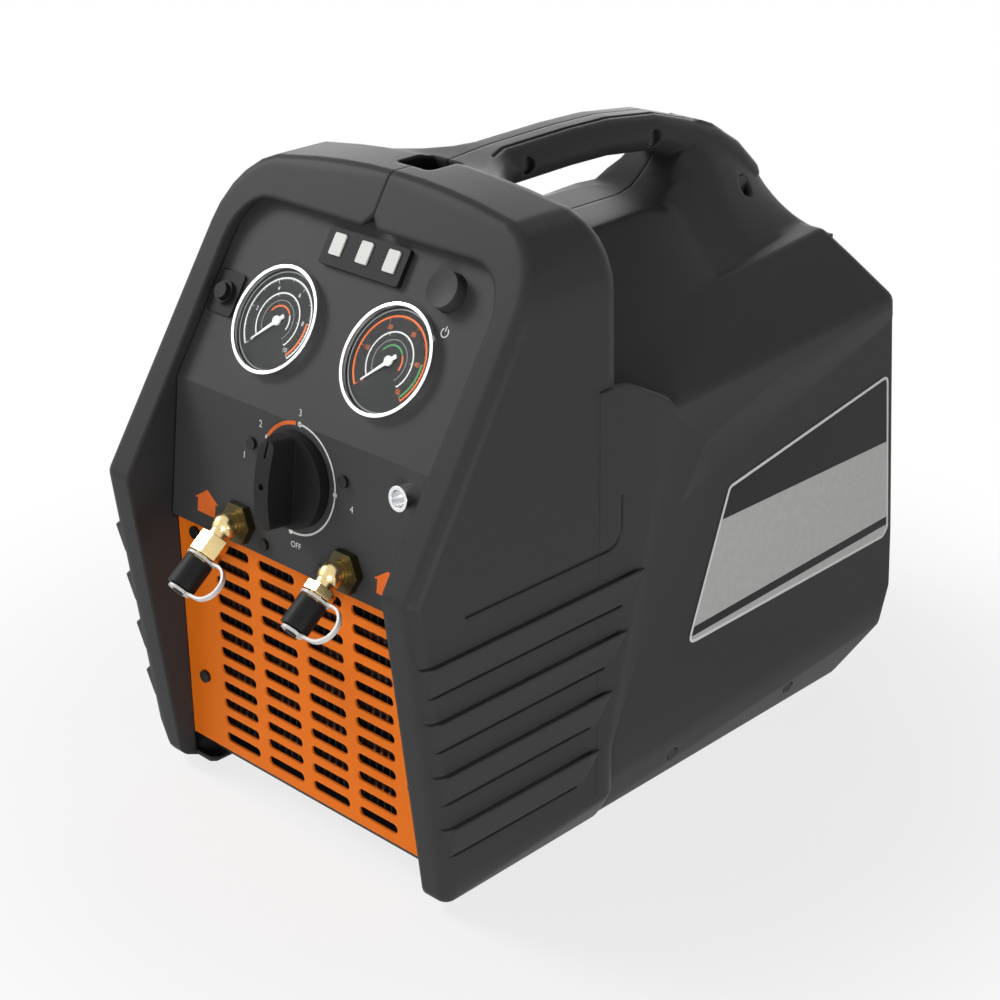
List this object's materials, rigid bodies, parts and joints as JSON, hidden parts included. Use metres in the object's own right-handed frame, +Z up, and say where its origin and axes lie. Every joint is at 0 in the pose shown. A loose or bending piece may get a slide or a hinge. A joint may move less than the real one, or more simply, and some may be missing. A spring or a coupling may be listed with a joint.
{
  "type": "refrigerant recovery machine",
  "caption": "Portable refrigerant recovery machine: two-half moulded casing with hood and carrying handle, gauges, selector valve, capped hose ports, grille and compressor.",
  "frame": {"origin": "on the floor, under the middle of the whole machine", "axes": "+X to the machine's left as seen by a person facing its back, which is the right in the front view; +Y from the control panel to the back; +Z up"},
  "size_m": [0.251, 0.4185, 0.3579],
  "materials": {
    "casing": "fine moulded grain",
    "panel": "fine moulded grain",
    "orange_paint": "satin powder coat",
    "black_paint": "satin powder coat",
    "black_plastic": "satin",
    "white_plastic": "satin",
    "dial": "printed, matt",
    "needle": "satin",
    "chrome": "polished",
    "steel": "zinc plated",
    "black_screw": "black oxide",
    "brass": "machined",
    "olive_nut": "olive passivated",
    "copper": "drawn tube",
    "cast_metal": "as cast",
    "motor_paint": "painted cast alloy",
    "rubber": "matt",
    "glass": "clear",
    "board": "solder mask"
  },
  "bodies": {
    "root": {"left_shell": "casing", "right_shell": "casing", "shell_screws": "black_screw", "base_tray": "black_paint", "tray_screws": "steel", "rubber_feet": "rubber", "front_panel": "panel", "front_grille": "orange_paint", "grille_screws": "steel", "rear_panel": "black_paint", "rear_panel_screws": "black_screw", "low_gauge_case": "black_plastic", "low_gauge_dial": "dial", "high_gauge_case": "black_plastic", "high_gauge_dial": "dial", "gauge_bezels": "chrome", "gauge_lenses": "glass", "indicator_frame": "black_plastic", "indicator_lenses": "white_plastic", "power_switch_body": "black_plastic", "breaker_body": "black_plastic", "sensor_socket": "chrome", "valve_block": "cast_metal", "valve_screws": "black_screw", "inlet_fitting": "brass", "outlet_fitting": "brass", "port_nuts": "olive_nut", "condenser_fins": "cast_metal", "condenser_coil": "copper", "fan_shroud": "black_plastic", "fan_motor": "steel", "motor": "motor_paint", "crankcase": "cast_metal", "cylinder_heads": "cast_metal", "motor_bracket": "black_paint", "rubber_mounts": "rubber", "capacitor": "steel", "control_board": "board", "power_inlet": "black_plastic", "suction_line": "copper", "discharge_line": "copper", "gauge_lines": "copper"},
    "selector": {"selector_knob": "black_plastic", "selector_shaft": "steel"},
    "button": {"power_button": "panel"},
    "breaker": {"breaker_button": "black_plastic"},
    "low_needle": {"low_gauge_needle": "needle"},
    "high_needle": {"high_gauge_needle": "needle"},
    "fan_rotor": {"fan": "black_plastic"},
    "inlet_carrier": {"inlet_strap": "white_plastic"},
    "inlet_cap": {"inlet_cap": "black_plastic"},
    "outlet_carrier": {"outlet_strap": "white_plastic"},
    "outlet_cap": {"outlet_cap": "black_plastic"}
  },
  "joints": [
    {"name": "selector_turn", "type": "hinge", "parent": "root", "child": "selector", "pos_m": [0, -0.15616, 0.20934], "axis": [0, -0.9917, 0.1288], "range_deg": [-180, 90]},
    {"name": "power_button_push", "type": "slide", "parent": "root", "child": "button", "axis": [0, -0.8387, 0.5446], "range_m": [-0.0025, 0], "stiffness_N_per_m": 400},
    {"name": "breaker_trip", "type": "slide", "parent": "root", "child": "breaker", "axis": [0, -0.8387, 0.5446], "range_m": [0, 0.004]},
    {"name": "low_needle_turn", "type": "hinge", "parent": "root", "child": "low_needle", "pos_m": [-0.043, -0.12735, 0.27688], "axis": [0, -0.8387, 0.5446], "range_deg": [-270, 0]},
    {"name": "high_needle_turn", "type": "hinge", "parent": "root", "child": "high_needle", "pos_m": [0.043, -0.12735, 0.27688], "axis": [0, -0.8387, 0.5446], "range_deg": [-270, 0]},
    {"name": "fan_spin", "type": "hinge", "parent": "root", "child": "fan_rotor", "pos_m": [0, -0.11, 0.089], "axis": [0, 1, 0], "continuous": true},
    {"name": "inlet_cap_lift", "type": "slide", "parent": "root", "child": "inlet_carrier", "axis": [0, -0.788, -0.6157], "range_m": [0, 0.00381]},
    {"name": "inlet_cap_turn", "type": "hinge", "parent": "inlet_carrier", "child": "inlet_cap", "pos_m": [-0.0425, -0.17181, 0.17427], "axis": [0, -0.788, -0.6157], "range_deg": [0, 1081]},
    {"name": "outlet_cap_lift", "type": "slide", "parent": "root", "child": "outlet_carrier", "axis": [0, -0.788, -0.6157], "range_m": [0, 0.00381]},
    {"name": "outlet_cap_turn", "type": "hinge", "parent": "outlet_carrier", "child": "outlet_cap", "pos_m": [0.0425, -0.17181, 0.17427], "axis": [0, -0.788, -0.6157], "range_deg": [0, 1081]}
  ],
  "couplings": [
    {"joint": "inlet_cap_turn", "follows": "inlet_cap_lift", "rad_per_m": 4947.4},
    {"joint": "outlet_cap_turn", "follows": "outlet_cap_lift", "rad_per_m": 4947.4}
  ]
}
